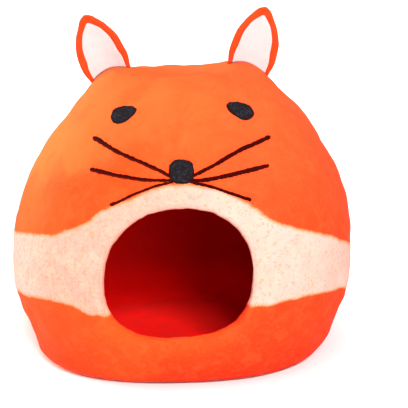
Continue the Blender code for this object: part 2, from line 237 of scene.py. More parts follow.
# ---------------- the skin
def even_curve(at, knots, values):
    """A smooth curve through the knots that never overshoots them: cubic pieces whose slope at a knot is the
    harmonic mean of the slopes beside it, or level where those differ in sign."""
    steps = np.diff(knots)
    slopes = np.diff(values) / steps
    before, after = slopes[:-1], slopes[1:]
    same_way = before * after > 0
    middle = np.where(same_way, 2 * before * after / np.where(same_way, before + after, 1.0), 0.0)
    tangents = np.concatenate([slopes[:1], middle, slopes[-1:]])
    k = np.clip(np.searchsorted(knots, at, side="right") - 1, 0, len(steps) - 1)
    t = (at - knots[k]) / steps[k]
    return (
        (1 + 2 * t) * (1 - t) ** 2 * values[k]
        + t * (1 - t) ** 2 * steps[k] * tangents[k]
        + t**2 * (3 - 2 * t) * values[k + 1]
        - t**2 * (1 - t) * steps[k] * tangents[k + 1]
    )


def shares_of_sections():
    """Each section's height share: how far along the mean outline it lies, in length and in bend together."""
    steps = np.diff(np.stack([SECTIONS[:, 0], SECTIONS[:, 1:5].mean(axis=1)], axis=1), axis=0)
    bends = np.abs(np.diff(np.unwrap(np.arctan2(steps[:, 0], steps[:, 1]))))
    bends = (np.concatenate([[0.0], bends]) + np.concatenate([bends, [0.0]])) / 2
    lengths = np.cumsum(np.linalg.norm(steps, axis=1) + BEND_LENGTH * bends)
    return np.concatenate([[0.0], lengths / lengths[-1]])


SHARES = shares_of_sections()


def section(share):
    """Height, the four reaches and the squareness of the skin at a height share."""
    return [even_curve(share, SHARES, SECTIONS[:, column]) for column in range(6)]


def signed_power(value, power):
    return np.sign(value) * np.abs(value) ** power


def skin(angle, share):
    """The shell's outside: x = reach * sin(angle)^(2/squareness), y = -reach * cos(angle)^(2/squareness) and
    z = height, raised by a bell-shaped swell under each ear."""
    height, left, right, front, back, power = section(share)
    across, along = np.sin(angle), -np.cos(angle)
    x = np.where(across < 0, left, right) * signed_power(across, 2 / power)
    y = np.where(along < 0, front, back) * signed_power(along, 2 / power)
    return np.stack([x, y, height + crest(x, y, height)], axis=-1)


def crest(x, y, height):
    """The rise of the swells under the ears, each rise * e^(-distance^2 / (2 spread^2))."""
    swell = 0
    for at_x, at_y, rise, spread in CRESTS:
        away = np.hypot(x - at_x, y - at_y) / spread
        swell = swell + rise * np.exp(-(away**2) / 2)
    return swell * np.clip((height - CREST_FROM) / CREST_FADE, 0, 1)


def above_crown(points):
    """How far points stand above the crown. The level section whose superellipse runs through a point's x and
    y gives the skin's height there."""
    crown_shares = np.linspace(0.7, 0.999, 200)
    height, left, right, front, back, power = section(crown_shares)
    x, y = points[..., 0, None], points[..., 1, None]
    across = np.abs(x) / np.where(x < 0, left, right)
    along = np.abs(y) / np.where(y < 0, front, back)
    filled = across**power + along**power
    level = height[np.clip((filled < 1).sum(axis=-1), 1, len(height)) - 1]
    return points[..., 2] - level - crest(points[..., 0], points[..., 1], level)


def angle_and_share(x, height):
    """Where on the front of the skin a place seen from the front lies."""
    fine = np.linspace(SHARES[1], 1, 4000)
    share = np.interp(height, section(fine)[0], fine)
    _, left, right, _, _, power = section(share)
    part = np.clip(x / np.where(x < 0, left, right), -1, 1)
    return np.arcsin(signed_power(part, power / 2)), share


def turns(count):
    """Angles shared out evenly over a full turn."""
    return np.linspace(0, 2 * math.pi, count, endpoint=False)


def unit(vectors):
    return vectors / np.maximum(np.linalg.norm(vectors, axis=-1, keepdims=True), SMALLEST)


def on_front(x, height, uneven):
    """The point of the uneven skin's front that is seen at x and height, and the outward normal there."""
    angle, share = angle_and_share(x, height)
    step = 1e-4
    east = skin(angle + step, share) - skin(angle - step, share)
    up = skin(angle, share + step) - skin(angle, share - step)
    normal = unit(np.cross(east, up))
    point = skin(angle, share)
    return point + normal * hand_swells(point, uneven)[..., None], normal


def hand_swells(points, uneven):
    """How far the hand-worked skin stands off the even one: long, middling and short swells, fading out over
    the lowest 26 mm."""
    whole = sum(share * swells(points, length, seed) for length, seed, share in HAND_SWELLS)
    return whole * uneven * ease(points[..., 2], 2.0, 26.0)


def swells(points, length, seed):
    """Smooth unevenness of unit height: the sum of cosines of randomly turned plane waves about that long."""
    rng = np.random.default_rng(seed)
    directions = unit(rng.normal(size=(WAVES, 3)))
    turned = directions * (2 * math.pi / (length * rng.uniform(0.7, 1.5, WAVES)))[:, None]
    starts = rng.uniform(0, 2 * math.pi, WAVES)
    return np.cos(points @ turned.T + starts).sum(axis=-1) * math.sqrt(2 / WAVES)


def ease(value, low, high):
    """0 below low, 1 above high, and a smooth S between them."""
    t = np.clip((value - low) / (high - low), 0, 1)
    return t * t * (3 - 2 * t)


def evened(values, reach):
    """A row of values evened out by a bell-shaped mean over that many on each side, its ends turned over."""
    bell = np.hanning(2 * reach + 1) / np.hanning(2 * reach + 1).sum()
    before = 2 * values[0] - values[reach:0:-1]
    after = 2 * values[-1] - values[-2 : -reach - 2 : -1]
    return np.convolve(np.concatenate([before, values, after]), bell, "valid")


# ---------------- meshes and objects
def grid_faces(rows, columns):
    """Four-sided faces between rows of points that each run round and close on themselves."""
    row = np.arange(rows - 1)[:, None] * columns
    column = np.arange(columns)[None]
    beside = (column + 1) % columns
    corners = (row + column, row + beside, row + columns + beside, row + columns + column)
    return np.stack(np.broadcast_arrays(*corners)).reshape(4, -1).T


def fan_faces(row_start, columns, pole, flip=False):
    """Three-sided faces from a row's points to a pole."""
    column = np.arange(columns)
    ends = (row_start + column, row_start + (column + 1) % columns)
    return np.stack([*(ends[::-1] if flip else ends), np.full(columns, pole)], axis=1)


def closed_faces(rows, columns):
    """Faces of a closed skin: rows that each run round, with a pole past the first row and past the last."""
    pole = rows * columns
    return [
        grid_faces(rows, columns),
        fan_faces(0, columns, pole, flip=True),
        fan_faces(pole - columns, columns, pole + 1),
    ]


def new_mesh(name, points, faces):
    """A mesh from points in millimetres and arrays of faces."""
    mesh = bpy.data.meshes.new(name)
    mesh.from_pydata((points * MM).tolist(), [], [corners for group in faces for corners in group.tolist()])
    return mesh


def add_object(name, data):
    made = bpy.data.objects.new(name, data)
    bpy.context.scene.collection.objects.link(made)
    return made


def new_piece(name, points, faces, felt, attributes):
    """A smooth piece of that felt, riding on the CAD body, with an attribute's value for every point."""
    mesh = new_mesh(name, points, faces)
    mesh.validate()
    for key, values in attributes.items():
        made = mesh.attributes.new(key, "FLOAT", "POINT")
        made.data.foreach_set("value", np.asarray(values, np.float32))
    mesh.shade_smooth()
    mesh.materials.append(felt)
    piece = add_object(name, mesh)
    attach(piece, "root")
    return piece


def grid_normals(grid):
    """Unit normals of rows of points that each run round: the cross product of the differences along the two
    ways."""
    down = np.gradient(grid, axis=0)
    over = np.roll(grid, -1, axis=1) - np.roll(grid, 1, axis=1)
    return unit(np.cross(over, down))


# ---------------- materials
class Wool:
    """A wool material being made: matt, with the sheen that loose fibre ends give."""

    def __init__(self, name, sheen, tint):
        self.material = bpy.data.materials.new(name)
        self.material.use_nodes = True
        self.tree = self.material.node_tree
        self.shader = self.tree.nodes["Principled BSDF"]
        self.shader.inputs["Roughness"].default_value = 0.95
        self.shader.inputs["Specular IOR Level"].default_value = 0.05
        self.shader.inputs["Sheen Weight"].default_value = sheen
        self.shader.inputs["Sheen Roughness"].default_value = 0.55
        self.shader.inputs["Sheen Tint"].default_value = (*tint, 1)
        self.where = add_node(self, "ShaderNodeTexCoord").outputs["Object"]

    def finish(self, colour, normal):
        self.tree.links.new(colour, self.shader.inputs["Base Color"])
        self.tree.links.new(normal, self.shader.inputs["Normal"])
        return self.material


def add_node(wool, kind, links=None, **settings):
    """Adds a node, sets its properties and its inputs, and links inputs from other nodes' outputs."""
    node = wool.tree.nodes.new(kind)
    for key, value in settings.items():
        setattr(node, key, value)
    for key, value in (links or {}).items():
        socket = node.inputs[key]
        if isinstance(value, bpy.types.NodeSocket):
            wool.tree.links.new(value, socket)
        else:
            socket.default_value = value
    return node


def coordinate(wool, axis):
    """One coordinate of the place on the object, in metres."""
    return add_node(wool, "ShaderNodeSeparateXYZ", {0: wool.where}).outputs[axis]


def noise(wool, size_mm, detail=3.0, roughness=0.55, distortion=0.0, shift=(0, 0, 0), stretch=(1, 1, 1)):
    """A noise pattern of features about that many millimetres across. Its scale counts them in a metre."""
    placed = add_node(wool, "ShaderNodeMapping", {"Vector": wool.where, "Location": shift, "Scale": stretch})
    links = {
        "Vector": placed.outputs[0],
        "Scale": 1000 / size_mm,
        "Detail": detail,
        "Roughness": roughness,
        "Distortion": distortion,
    }
    return add_node(wool, "ShaderNodeTexNoise", links).outputs["Fac"]


def ramp(wool, value, low, high, to_low=0.0, to_high=1.0):
    """A smooth step of the value from low to high."""
    links = {"Value": value, "From Min": low, "From Max": high, "To Min": to_low, "To Max": to_high}
    return add_node(wool, "ShaderNodeMapRange", links, interpolation_type="SMOOTHSTEP").outputs["Result"]


def patches(wool, size_mm, low, high, **settings):
    """Soft-edged patches of that size: 0 where the noise is under low, and 1 where it is over high."""
    return ramp(wool, noise(wool, size_mm, **settings), low, high)


def arithmetic(wool, operation, first, second, third=0.0):
    return add_node(wool, "ShaderNodeMath", {0: first, 1: second, 2: third}, operation=operation).outputs[0]


def times(wool, first, second):
    return arithmetic(wool, "MULTIPLY", first, second)


def times_plus(wool, first, second, third):
    return arithmetic(wool, "MULTIPLY_ADD", first, second, third)


def blend_colours(wool, share, first, second, mode="MIX"):
    """A mix of two colours by a share."""
    first, second = (
        value if isinstance(value, bpy.types.NodeSocket) else (*value, 1.0) for value in (first, second)
    )
    links = {0: share, 6: first, 7: second}
    return add_node(wool, "ShaderNodeMix", links, data_type="RGBA", blend_type=mode).outputs[2]


def fade(wool, base, colour, value, low, high, to_low=0.0, to_high=1.0):
    """Fades a colour in over the base as a value runs from low to high."""
    return blend_colours(wool, ramp(wool, value, low, high, to_low, to_high), base, colour)


def lay_over(wool, base, pattern, share, colour):
    """Lays a colour over the base where the pattern is 1, up to that share."""
    return blend_colours(wool, times(wool, pattern, share), base, colour)


def dyed(wool, base, shares):
    """The base with its red, green and blue each taken to its share."""
    return blend_colours(wool, 1.0, base, shares, mode="MULTIPLY")


def attribute(wool, name):
    return add_node(wool, "ShaderNodeAttribute", attribute_name=name).outputs["Fac"]


def bump(wool, height, depth_mm, strength, under=None):
    """A bump of that depth, over another bump where one is given."""
    links = {"Height": height, "Distance": depth_mm * MM, "Strength": strength}
    if under is not None:
        links["Normal"] = under
    return add_node(wool, "ShaderNodeBump", links).outputs[0]


def tangle(wool, fine_mm=2.6, fine_depth_mm=0.35, coarse_depth_mm=0.8):
    """The swirls and the bump of tangled wool: fine swirled fibres over soft lumps. Real fibres are 0.03 mm
    thick, which is too fine to show, so the swirls are drawn as coarse as a lock of them."""
    swirl = noise(wool, fine_mm, detail=5, roughness=0.65, distortion=1.6)
    lumps = noise(wool, 9, detail=2, shift=(3, 1, 7))
    return swirl, bump(wool, swirl, fine_depth_mm, 0.9, bump(wool, lumps, coarse_depth_mm, 0.8))


def lighter(colour, share, towards):
    return tuple(c + (t - c) * share for c, t in zip(colour, towards))


def darker(colour, share):
    return tuple(c * (1 - share) for c in colour)


def scaled(colour, *shares):
    """A plain colour with its red, green and blue each taken to its share."""
    return tuple(c * share for c, share in zip(colour, shares))


def wet_felted_orange(wool, low, high, swirl, sides):
    """Orange fleece: darker at the foot as painted shade, and lighter high up, partly a real drift towards
    amber and partly painted light from above, with soft drifts where the layers overlap. With sides at 1 it
    has painted light on the left, more golden, and painted shade on the right, redder, and with sides at 0
    both are the same."""
    height = coordinate(wool, "Z")
    # Painted shade darkens the lowest 80 mm. From 130 to 400 mm it turns amber, partly a real drift and
    # partly painted light.
    base = fade(wool, scaled(low, 0.66, 0.40, 0.26), low, height, 0.0, 0.080)
    base = fade(wool, base, high, height, 0.13, 0.40)
    across = coordinate(wool, "X")
    painted_light_gold = dyed(wool, base, (1.0, 2.2, 2.2))
    # Painted light: on the left, where the left lamp falls, the fleece is made more golden, save in a redder
    # band laid slanting over the lower cheek, which is painted shade where the cheek turns from the light.
    slant = times_plus(wool, across, -0.44, height)
    wave = times_plus(wool, noise(wool, 45, detail=2, shift=(8, 3, 5)), 0.05, slant)
    painted_shade_cheek = times(wool, ramp(wool, wave, 0.362, 0.330), ramp(wool, across, 0.0, -0.08, 0.0, sides))
    base = lay_over(wool, base, painted_shade_cheek, 0.8, scaled(low, 1.0, 1.38, 1.2))
    painted_light_left = arithmetic(wool, "SUBTRACT", ramp(wool, across, -0.07, -0.21, 0.0, 0.80 * sides), painted_shade_cheek)
    painted_light_left = arithmetic(wool, "MAXIMUM", painted_light_left, ramp(wool, across, -0.12, -0.21, 0.0, 0.55 * sides))
    base = lay_over(wool, base, painted_light_left, ramp(wool, height, 0.08, 0.20), painted_light_gold)
    # Painted shade: the foot is made redder at the left, and so is the whole right side, away from the left
    # lamp.
    foot = dyed(wool, base, (1.0, 0.68, 0.76))
    base = lay_over(wool, base, ramp(wool, across, -0.04, -0.14), ramp(wool, height, 0.085, 0.02), foot)
    base = fade(wool, base, dyed(wool, base, (1.0, 0.84, 1.0)), across, 0.02, 0.09, 0.0, sides)
    drifts = patches(wool, 70, 0.40, 0.68, distortion=0.8)
    base = lay_over(wool, base, drifts, 0.30, darker(low, 0.12))
    straw = (1.0, 0.6, 0.3)
    locks = patches(wool, 14, 0.42, 0.72, detail=4, distortion=1.2, shift=(5, 2, 1))
    base = lay_over(wool, base, locks, 0.16, lighter(high, 0.06, straw))
    return lay_over(wool, base, ramp(wool, swirl, 0.38, 0.66), 0.10, lighter(high, 0.10, straw))


def cream_fleece(wool, cream, stray):
    """The band's fleece: drifts of peach and straw, brown flecks and fibres, and stray ones of amber."""
    straw = scaled(cream, 1.02, 1.06, 0.88)
    brown = scaled(straw, 0.66, 0.54, 0.38)
    drift = patches(wool, 34, 0.40, 0.70, distortion=0.7, shift=(9, 4, 2))
    # Painted sheen makes it paler and cooler at the far left, where the left lamp grazes it, and painted
    # shade makes it darker and pinker before the left cheek and over the way in.
    across = coordinate(wool, "X")
    painted_shade_left = times(wool, ramp(wool, across, 0.07, -0.03), ramp(wool, across, -0.21, -0.15))
    pale = fade(wool, cream, scaled(cream, 0.98, 0.98, 1.06), across, -0.16, -0.21)
    pale = blend_colours(wool, painted_shade_left, pale, scaled(cream, 1.0, 0.82, 0.77))
    pale = lay_over(wool, pale, drift, 0.45, scaled(cream, 1.0, 0.84, 0.78))
    dry = patches(wool, 17, 0.45, 0.66, distortion=0.9, shift=(6, 1, 8))
    pale = lay_over(wool, pale, dry, 0.40, straw)
    flecks = patches(wool, 4.2, 0.52, 0.66, detail=4, roughness=0.7, distortion=0.8, shift=(1, 8, 3))
    pale = lay_over(wool, pale, flecks, 0.66, brown)
    # Fibres laid crosswise show as fine brown lines in front of the left cheek.
    fibres = {"roughness": 0.6, "distortion": 0.3, "shift": (3, 9, 4)}
    for stretch in ((1.0, 1.0, 0.10), (0.10, 1.0, 1.0)):
        lines = patches(wool, 3.4, 0.55, 0.68, stretch=stretch, **fibres)
        pale = lay_over(wool, pale, lines, ramp(wool, across, -0.05, -0.10, 0.0, 0.55), brown)
    strays = patches(wool, 6.5, 0.64, 0.74, detail=5, roughness=0.7, distortion=2.2, shift=(4, 4, 9))
    return lay_over(wool, pale, strays, 0.35, stray)


def red_fleece(wool, red, swirl):
    """The inside's fleece: red on the floor, and darker up the walls as painted shade."""
    depth = patches(wool, 40, 0.35, 0.7, shift=(7, 7, 7))
    height = coordinate(wool, "Z")
    painted_shade_walls = fade(wool, red, darker(red, 0.45), height, 0.012, 0.075)
    inner = lay_over(wool, painted_shade_walls, depth, 0.16, darker(red, 0.35))
    return lay_over(wool, inner, ramp(wool, swirl, 0.4, 0.7), 0.2, lighter(red, 0.04, (1.0, 0.2, 0.1)))


def shell_felt(colours):
    """Wet-felted wool, worked by hand with soap and water from layers of dyed fleece: matt, softly lumpy,
    with feathered edges where one colour's fibres run into the next."""
    wool = Wool("wet_felted_wool_shell", 0.02, (1.0, 0.70, 0.55))
    amber = tuple(colours.amber)
    swirl, tangled = tangle(wool)
    orange = wet_felted_orange(wool, tuple(colours.orange), amber, swirl, 1.0)
    # Painted light makes the orange a little paler round the way in.
    painted_light_round_cut = dyed(wool, orange, (1.0, 1.35, 1.25))
    orange = fade(wool, orange, painted_light_round_cut, attribute(wool, "from_cut"), 34.0, 4.0, 0.0, 0.8)
    pale = cream_fleece(wool, tuple(colours.cream), amber)

    # The band's edge wanders a millimetre or two and its fibres run out over about 4 mm.
    wander = times_plus(wool, noise(wool, 16, detail=2, shift=(2, 6, 5)), 5.0, -2.5)
    ragged = times_plus(wool, noise(wool, 3.0, detail=4, roughness=0.7), 4.0, -2.0)
    distance = arithmetic(wool, "ADD", arithmetic(wool, "ADD", attribute(wool, "cream"), wander), ragged)
    # Thin cream fibres over the orange make the very edge golden.
    gold = (0.84, 0.24, 0.11)
    fringe = fade(wool, orange, gold, distance, -3.4, 0.2)
    outside = fade(wool, fringe, pale, distance, -1.4, 3.2)

    # Red fibres pulled through by the cutting tint the cream beside the way in.
    beside_cut = times_plus(wool, ragged, 0.8, attribute(wool, "from_cut"))
    tint = dyed(wool, outside, (1.0, 0.50, 0.46))
    outside = fade(wool, outside, tint, beside_cut, -1.0, 2.0, 0.36, 0.0)

    inside = red_fleece(wool, tuple(colours.red), swirl)
    through = times_plus(wool, ragged, 0.06, attribute(wool, "through"))
    return wool.finish(fade(wool, outside, inside, through, 0.62, 0.80), tangled)


EAR_TANGLE = (2.2, 0.3, 0.5)  # the ears' felt is finer and flatter than the shell's


def painted_crease_shade(wool, colour, fibres):
    """Painted shade: where an ear meets the crown, its colour is darkened towards the given dark colour, as
    the shade in the crease between them.
    """
    return fade(wool, colour, fibres, attribute(wool, "above_crown"), 0.8, 2.6, 0.85, 0.0)


def ear_felt(colours):
    """The same wet-felted orange wool in a thinner sheet, worked harder, so smoother and a little deeper."""
    wool = Wool("wet_felted_wool_ear", 0.02, (1.0, 0.70, 0.55))
    swirl, tangled = tangle(wool, *EAR_TANGLE)
    vermilion = tuple(colours.vermilion)
    orange = wet_felted_orange(wool, vermilion, vermilion, swirl, 0.0)
    # Painted shade darkens the ear's foot where it meets the crown.
    return wool.finish(painted_crease_shade(wool, orange, darker(tuple(colours.orange), 0.7)), tangled)


def white_felt(colours):
    """Wet-felted white wool: clean, faintly warm, with greyish and rosy drifts."""
    wool = Wool("wet_felted_wool_white", 0.05, (1.0, 0.95, 0.92))
    white = tuple(colours.white)
    swirl, tangled = tangle(wool, *EAR_TANGLE)
    drift = patches(wool, 18, 0.4, 0.7, distortion=0.6)
    colour = lay_over(wool, white, drift, 0.5, scaled(white, 1.0, 0.93, 0.9))
    colour = lay_over(wool, colour, ramp(wool, swirl, 0.5, 0.75), 0.18, darker(white, 0.25))
    # Painted shade darkens the white leaf's foot where it meets the crown.
    return wool.finish(painted_crease_shade(wool, colour, darker(tuple(colours.amber), 0.75)), tangled)


def stabbed_felt(name, ground, ends, edge, sheen_tint, shown):
    """Wool stabbed into the ground with a barbed needle: pitted, with fibre ends of another colour showing by
    that share, and an edge colour at the rim."""
    wool = Wool(name, 0.006, sheen_tint)
    swirl = noise(wool, 3.2, detail=5, roughness=0.75, distortion=1.8)
    pits = noise(wool, 3.2, shift=(2, 2, 2))
    stabbed = bump(wool, swirl, 0.4, 0.9, bump(wool, pits, 0.9, 0.9))
    colour = lay_over(wool, ground, ramp(wool, swirl, 0.52, 0.66), shown, ends)
    colour = lay_over(wool, colour, ramp(wool, attribute(wool, "rim"), 0.70, 1.0), 0.8, edge)
    return wool.finish(colour, stabbed)


def black_felt(colours):
    """Thick needle-felted black wool with bluish grey fibre ends and a darker rim."""
    bluish, rim = (0.055, 0.085, 0.120), (0.012, 0.003, 0.003)
    black = tuple(colours.black)
    return stabbed_felt("needle_felted_wool_black", black, bluish, rim, (0.75, 0.8, 0.9), 0.60)


def whisker_felt(colours):
    """A thin strand of black wool needled down so hard that the red-orange ground shows through it."""
    maroon = tuple(colours.maroon)
    edge = lighter(maroon, 0.10, (1.0, 0.08, 0.02))
    return stabbed_felt("needle_felted_strand", maroon, darker(maroon, 0.55), edge, (1.0, 0.2, 0.1), 0.45)


# ---------------- the shell
def mouth_edge(columns, grown):
    """The edge of the way in, pushed out by some millimetres, as angles and height shares: a superellipse
    whose size swings by the hand-cutting terms, with a small ripple from the scissors."""
    turn = turns(columns)
    cutting = MOUTH_UNEVEN + SCISSOR_RIPPLE
    uneven = 1 + sum(size * np.cos(count * turn - math.radians(start)) for count, size, start in cutting)
    across, up = np.cos(turn), np.sin(turn)
    x = MOUTH_X + (MOUTH_HALF_WIDTH * uneven + grown) * signed_power(across, 2 / MOUTH_POWER)
    height = MOUTH_Z + (MOUTH_HALF_HEIGHT * uneven + grown) * signed_power(up, 2 / MOUTH_POWER)
    return angle_and_share(x, height)


def rings_from_mouth(rings, columns, grown):
    """Angles and height shares of rings from the edge of the way in to the back. On a unit ball whose
    latitude is the height share, each ring is the great-circle mean of the edge and the point opposite its
    middle."""
    angle, share = mouth_edge(columns, grown)
    latitude = (share - 0.5) * math.pi
    edge = np.stack(
        [np.cos(latitude) * np.sin(angle), -np.cos(latitude) * np.cos(angle), np.sin(latitude)], axis=-1
    )
    middle = edge.mean(axis=0)
    back = -middle / np.linalg.norm(middle)
    spread = np.arccos(np.clip(edge @ back, -1, 1))[None, :, None]
    t = (np.arange(rings) / rings)[:, None, None] ** SHELL_GRADING
    ball = (np.sin((1 - t) * spread) * edge + np.sin(t * spread) * back) / np.sin(spread)
    ball = np.concatenate([ball.reshape(-1, 3), back[None]])
    return np.arctan2(ball[:, 0], -ball[:, 1]), np.arcsin(np.clip(ball[:, 2], -1, 1)) / math.pi + 0.5


def band_distance(angle, height):
    """How far inside the cream band a place on the skin lies, in millimetres: the lesser of its distances to
    the band's top and foot, each the height difference / sqrt(1 + slope^2), with the edge's slope there."""
    degrees = np.degrees(angle)
    inside = []
    for edge, way in ((BAND_TOP, 1), (BAND_FOOT, -1)):
        table = np.array(edge, float)
        at = even_curve(degrees, table[:, 0], table[:, 1])
        beside = even_curve(np.clip(degrees + 1, -180, 180), table[:, 0], table[:, 1])
        slope = (beside - at) / SKIN_PER_DEGREE
        inside.append(way * (at - height) / np.sqrt(1 + slope**2))
    return np.minimum(*inside)


def build_shell(shape, felt):
    """The shell as one closed skin: rings over the outside from the back to the way in, a rounded lip across
    the felt's thickness, and rings over the inside to the back. Inside = outside - thickness * normal."""
    wall, lip, uneven = shape.wall / MM, shape.lip / MM, shape.uneven / MM
    angle, share = rings_from_mouth(SHELL_RINGS, AROUND, lip)
    flat = skin(angle, share)
    outer = flat[:-1].reshape(SHELL_RINGS, AROUND, 3)
    normals = grid_normals(outer)
    middle = SHELL_RINGS // 2
    if (normals[middle] * (outer[middle] - outer.mean(axis=(0, 1)))).sum() < 0:
        normals = -normals
    lumps = hand_swells(outer, uneven)[..., None]
    outside = outer + normals * lumps
    outside[..., 2] = np.maximum(outside[..., 2], 0.0)

    # The inside uses every other ring or so of the same surface, moved in by the felt's thickness.
    picked = np.unique(np.round(np.linspace(0, SHELL_RINGS - 1, INNER_RINGS)).astype(int))
    inner_lumps = (0.9 * swells(outer, 60, 21) + 0.5 * swells(outer, 27, 22))[..., None] * uneven
    inside = (outer - normals * (wall + inner_lumps))[picked]

    # Lip: from the outer edge over a rounded cut to the inner edge.
    towards = unit(outside[0] - outside[1])
    turn = np.linspace(0, math.pi, LIP_STEPS + 2)[1:-1, None, None]
    across = wall / 2 * (1 - signed_power(np.cos(turn), LIP_POWER))
    out = (lip + 0.22 * swells(outer[0], 11, 31)[None, :, None]) * np.sin(turn) ** LIP_POWER
    cut = outside[0] + (inside[0] - outside[0]) * (across / wall) + towards * out

    rows = np.concatenate([outside[::-1], cut, inside])
    back_normal = unit(normals[-1].mean(axis=0))
    moves = (lumps[-1].mean(), -wall - inner_lumps[-1].mean())
    poles = np.stack([flat[-1] + back_normal * move for move in moves])
    points = np.concatenate([rows.reshape(-1, 3), poles])

    steps = np.linalg.norm(np.diff(outer, axis=0), axis=2).mean(axis=1)
    edge_distance = np.concatenate([[0], np.cumsum(steps)])
    cream = band_distance(angle, flat[:, 2])
    cream_rows = cream[:-1].reshape(SHELL_RINGS, AROUND)
    ones = np.ones((1, AROUND))
    whole = {
        "cream": [cream_rows[::-1], np.repeat(cream_rows[:1], LIP_STEPS + len(picked), axis=0)],
        "through": [0 * cream_rows, (across[..., 0] / wall) * ones, np.ones((len(picked), AROUND))],
        "from_cut": [
            edge_distance[::-1, None] * ones,
            np.zeros((LIP_STEPS, AROUND)),
            edge_distance[picked, None] * ones,
        ],
    }
    ends = {"cream": (cream[-1], cream[-1]), "through": (0, 1), "from_cut": (FAR, FAR)}
    attributes = {
        key: np.concatenate([*(part.ravel() for part in parts), np.array(ends[key], float)])
        for key, parts in whole.items()
    }
    piece = new_piece("felt_shell", points, closed_faces(len(rows), AROUND), felt, attributes)
    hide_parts("shell")


# ---------------- the ears
def ear_axes(lean, back, turn):
    """Across, up and facing directions of an ear that leans and turns."""
    lean, back, turn = math.radians(lean), math.radians(back), math.radians(turn)
    facing = np.array([math.sin(turn), -math.cos(turn), 0.0])
    side = np.array([math.cos(turn), math.sin(turn), 0.0])
    up = np.array([0.0, 0.0, 1.0]) * math.cos(back) - facing * math.sin(back)
    along = up * math.cos(lean) + side * math.sin(lean)
    across = side * math.cos(lean) - up * math.sin(lean)
    return across, along, np.cross(across, along)


def ear_half_width(ear, share):
    """Half width of the leaf: the outline's curve, evened out over about a tenth of the length."""
    fine = np.linspace(-0.36, 1.0, 681)
    width = even_curve(np.maximum(fine, EAR_OUTLINE[0, 0]), EAR_OUTLINE[:, 0], EAR_OUTLINE[:, 1])
    return np.interp(share, fine, evened(width, 30)) * ear[-1]


def rim_width(share, rim):
    """The orange rim round the white leaf, narrower at the foot."""
    return rim * (RIM_FOOT_SHARE + (1 - RIM_FOOT_SHARE) * np.clip(share / RIM_FULL_AT, 0, 1))


def leaf(ear, cup, shares, half_widths, place, forward):
    """Points of a cupped leaf: root + across * beside + along * share * length + facing * cup *
    (beside/widest)^2, moved along the leaf's own normal by forward. place runs from -1 to 1 across. place and
    forward have one row for each share."""
    across, along, facing = ear_axes(*ear[4:7])
    widest = EAR_OUTLINE[:, 1].max()
    beside = place * half_widths[:, None]
    curl = cup * (beside / widest) ** 2
    normal = unit(facing - across * (2 * cup * beside / widest**2)[..., None])
    return (
        np.array(ear[1:4])
        + across * beside[..., None]
        + along * (shares[:, None, None] * EAR_LENGTH)
        + facing * curl[..., None]
        + normal * forward[..., None]
    )


def closed_leaf(name, points, felt, key, values):
    """A piece from rows of points that each run round a cross-section, closed at foot and tip, with one
    attribute whose name and values are given."""
    rows, columns, _ = points.shape
    foot, tip = points[0].mean(axis=0), points[-1].mean(axis=0)
    whole = np.concatenate([points.reshape(-1, 3), foot[None], tip[None]])
    values = np.concatenate([values.ravel(), [values[0].mean(), values[-1].mean()]])
    return new_piece(name, whole, closed_faces(rows, columns), felt, {key: values})


def build_ear(ear, shape, orange, white):
    """An ear: a cupped orange leaf with a rolled rim, and a white leaf laid on its front, half sunk in it."""
    side = ear[0]
    felt, rim, cup = shape.ear_felt / MM, shape.ear_rim / MM, shape.ear_cup / MM
    rows, columns = 110, 96
    edge_power, face_power, lining_power = 0.8, 0.75, 0.9  # under 1 they square a leaf's cross-section
    foot = -EAR_SUNK / EAR_LENGTH
    shares = foot + (1.0 - foot) * np.sin(np.linspace(0, math.pi / 2, rows))
    turn = turns(columns)[None]
    past_round = ((shares - EAR_ROUND_FROM) / EAR_ROUND_LENGTH).clip(0)
    close = np.sqrt(np.clip(1 - past_round**2, 0.02, 1))
    half_widths = ear_half_width(ear, shares) * close
    place = signed_power(np.cos(turn), edge_power) * np.ones((rows, 1))
    half_thick = felt / 2 * close[:, None]
    from_edge = half_widths[:, None] - np.abs(place) * half_widths[:, None]
    # The front stands prouder along the rim, where the felt is rolled over the white leaf's edge.
    rims = rim_width(shares, rim)[:, None]
    roll = RIM_ROLL * np.exp(-(((from_edge - rims * 0.5) / (rims * 0.42)) ** 2))
    prouder = np.where(np.sin(turn) > 0, roll, 0.0) * close[:, None]
    forward = signed_power(np.sin(turn), face_power) * half_thick + prouder
    points = leaf(ear, cup, shares, half_widths, place, forward)
    seed = 40 + len(side)
    lumps = swells(points, 22, seed) * 0.35 + swells(points, 9, seed + 1) * 0.12
    points = points + lumps[..., None] * np.array([0.4, 0.9, 0.2])
    outer = closed_leaf("felt_ear_" + side, points, orange, "above_crown", above_crown(points))
    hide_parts("ear_" + side)

    to_tip = np.linspace(1, 0, rows) ** 1.7  # closer rows towards the tip
    shares = LINING_TOP - (LINING_TOP - foot) * to_tip
    past_shoulder = np.clip((shares - LINING_SHOULDER) / (LINING_TOP - LINING_SHOULDER), 0, 0.999)
    half_widths = (ear_half_width(ear, shares) - rim_width(shares, rim)) * np.sqrt(1 - past_shoulder**2)
    thin = LINING_HALF_THICK * np.sqrt(np.clip(half_widths / LINING_THINS_FROM, 0, 1))[:, None]
    forward = felt / 2 + 0.1 + signed_power(np.sin(turn), lining_power) * thin * np.ones((rows, 1))
    points = leaf(ear, cup, shares, half_widths, place, forward)
    points = points + (swells(points, 16, seed + 2) * 0.14)[..., None] * np.array([0.2, 1.0, 0.1])
    lining = closed_leaf("felt_ear_lining_" + side, points, white, "above_crown", above_crown(points))
    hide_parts("ear_lining_" + side)


